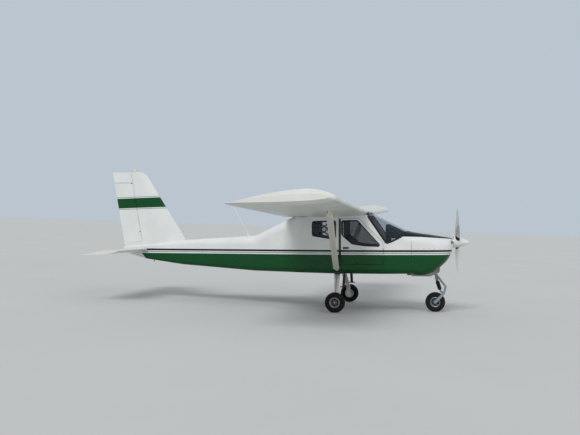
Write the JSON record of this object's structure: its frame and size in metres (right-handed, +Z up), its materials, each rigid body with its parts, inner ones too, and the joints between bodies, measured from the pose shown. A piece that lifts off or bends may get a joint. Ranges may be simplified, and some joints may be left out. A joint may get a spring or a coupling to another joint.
{
  "type": "microlight aircraft",
  "caption": "Two-seat high-wing microlight aeroplane with braced wings, all-moving tailplane, glazed cabin, nose propeller and tricycle wheels.",
  "frame": {"origin": "on the ground, on the centre plane, midway between the spinner's tip and the rudder's trailing edge", "axes": "+X towards the nose, +Y towards the left wing tip, +Z up; the airframe sits two degrees nose up on its wheels"},
  "size_m": [6.4032, 8.648, 2.2952],
  "materials": {
    "painted_shell": "gloss",
    "painted_skin": "gloss",
    "painted_fin": "gloss",
    "painted_tail": "gloss",
    "clear_glazing": "gloss",
    "floor_shell": "gloss",
    "bare_sheet": "satin",
    "panel_black": "matte",
    "engine_block": "satin",
    "painted_tube": "satin",
    "strut_tube": "satin",
    "leaf_spring": "satin",
    "black_steel": "satin",
    "leg_tube": "satin",
    "wheel_alloy": "satin",
    "tyre_rubber": "matte",
    "blade_wood": "satin",
    "hub_alloy": "satin",
    "spinner_shell": "gloss",
    "seat_cloth": "matte",
    "whip_rod": "gloss",
    "lamp_cover": "gloss",
    "pipe_steel": "satin",
    "hinge_steel": "satin"
  },
  "bodies": {
    "airframe": {"cabin_tub": "floor_shell", "side_left": "painted_shell", "side_right": "painted_shell", "front_deck": "painted_shell", "windshield": "clear_glazing", "rear_windows": "clear_glazing", "firewall": "bare_sheet", "rear_bulkhead": "panel_black", "instrument_panel": "panel_black", "door_hinges": "hinge_steel", "cowling_upper": "painted_shell", "cowling_lower": "painted_shell", "exhaust": "pipe_steel", "cooling_duct": "painted_shell", "engine": "engine_block", "roof_centre": "painted_shell", "wing_left": "painted_skin", "wing_right": "painted_skin", "struts": "strut_tube", "tail_cone": "painted_shell", "fin": "painted_fin", "gear_legs": "leaf_spring", "nose_housing": "black_steel", "seats": "seat_cloth", "control_sticks": "black_steel", "cabin_frame": "painted_tube", "boarding_steps": "black_steel", "antenna": "whip_rod", "beacon": "lamp_cover", "tie_down_rings": "hinge_steel"},
    "door_left": {"door_left": "painted_shell", "door_glass_left": "clear_glazing"},
    "door_right": {"door_right": "painted_shell", "door_glass_right": "clear_glazing"},
    "flap_left": {"flap_left": "painted_skin"},
    "flap_right": {"flap_right": "painted_skin"},
    "aileron_left": {"aileron_left": "painted_skin"},
    "aileron_right": {"aileron_right": "painted_skin"},
    "rudder": {"rudder": "painted_tail"},
    "stabilator": {"stabilator": "painted_tail"},
    "stabilator_tab": {"stabilator_tab": "painted_tail"},
    "propeller": {"propeller": "blade_wood", "spinner": "spinner_shell"},
    "nose_leg": {"nose_fork": "leg_tube", "nose_shock": "black_steel"},
    "nose_wheel": {"nose_tyre": "tyre_rubber", "nose_rim": "wheel_alloy"},
    "main_wheel_left": {"main_tyre_left": "tyre_rubber", "main_rim_left": "wheel_alloy"},
    "main_wheel_right": {"main_tyre_right": "tyre_rubber", "main_rim_right": "wheel_alloy"}
  },
  "joints": [
    {"name": "door_left", "type": "hinge", "parent": "airframe", "child": "door_left", "pos_m": [1.81859, 0.558, 0.96578], "axis": [0.0349, 0, -0.9994], "range_deg": [0, 70]},
    {"name": "door_right", "type": "hinge", "parent": "airframe", "child": "door_right", "pos_m": [1.81859, -0.558, 0.96578], "axis": [-0.0349, 0, 0.9994], "range_deg": [0, 70]},
    {"name": "flap_left", "type": "hinge", "parent": "airframe", "child": "flap_left", "pos_m": [0.47474, 1.55, 1.6097], "axis": [0.0011, -0.9995, -0.0314], "range_deg": [0, 38]},
    {"name": "flap_right", "type": "hinge", "parent": "airframe", "child": "flap_right", "pos_m": [0.47474, -1.55, 1.6097], "axis": [-0.0011, -0.9995, 0.0314], "range_deg": [0, 38]},
    {"name": "aileron_left", "type": "hinge", "parent": "airframe", "child": "aileron_left", "pos_m": [0.4314, 3.31, 1.65976], "axis": [0.0011, -0.9995, -0.0314], "range_deg": [-18, 18]},
    {"name": "aileron_right", "type": "hinge", "parent": "airframe", "child": "aileron_right", "pos_m": [0.4314, -3.31, 1.65976], "axis": [-0.0011, -0.9995, 0.0314], "range_deg": [-18, 18]},
    {"name": "rudder", "type": "hinge", "parent": "airframe", "child": "rudder", "pos_m": [-2.56358, 0, 0.92282], "axis": [-0.2151, 0, 0.9766], "range_deg": [-25, 25]},
    {"name": "stabilator", "type": "hinge", "parent": "airframe", "child": "stabilator", "pos_m": [-2.63481, 0, 0.84228], "axis": [0, 1, 0], "range_deg": [0, 20]},
    {"name": "stabilator_tab", "type": "hinge", "parent": "stabilator", "child": "stabilator_tab", "pos_m": [-2.9814, 0, 0.79356], "axis": [0, 1, 0], "range_deg": [-12, 12]},
    {"name": "propeller", "type": "hinge", "parent": "airframe", "child": "propeller", "pos_m": [3.00665, 0, 1.18537], "axis": [0.9994, 0, 0.0349], "continuous": true},
    {"name": "nose_steering", "type": "hinge", "parent": "airframe", "child": "nose_leg", "pos_m": [2.65356, 0, 0.69475], "axis": [-0.1736, 0, 0.9848], "range_deg": [-20, 20]},
    {"name": "nose_wheel", "type": "hinge", "parent": "nose_leg", "child": "nose_wheel", "pos_m": [2.66886, 0, 0.165], "axis": [0, 1, 0], "continuous": true},
    {"name": "main_wheel_left", "type": "hinge", "parent": "airframe", "child": "main_wheel_left", "pos_m": [1.09685, 0.9625, 0.163], "axis": [0, 1, 0], "continuous": true},
    {"name": "main_wheel_right", "type": "hinge", "parent": "airframe", "child": "main_wheel_right", "pos_m": [1.09685, -0.9625, 0.163], "axis": [0, 1, 0], "continuous": true}
  ],
  "couplings": [
    {"joint": "flap_right", "follows": "flap_left", "ratio": 1},
    {"joint": "aileron_right", "follows": "aileron_left", "ratio": -1},
    {"joint": "rudder", "follows": "nose_steering", "ratio": -1.25},
    {"joint": "stabilator_tab", "follows": "stabilator", "ratio": 0.6}
  ]
}
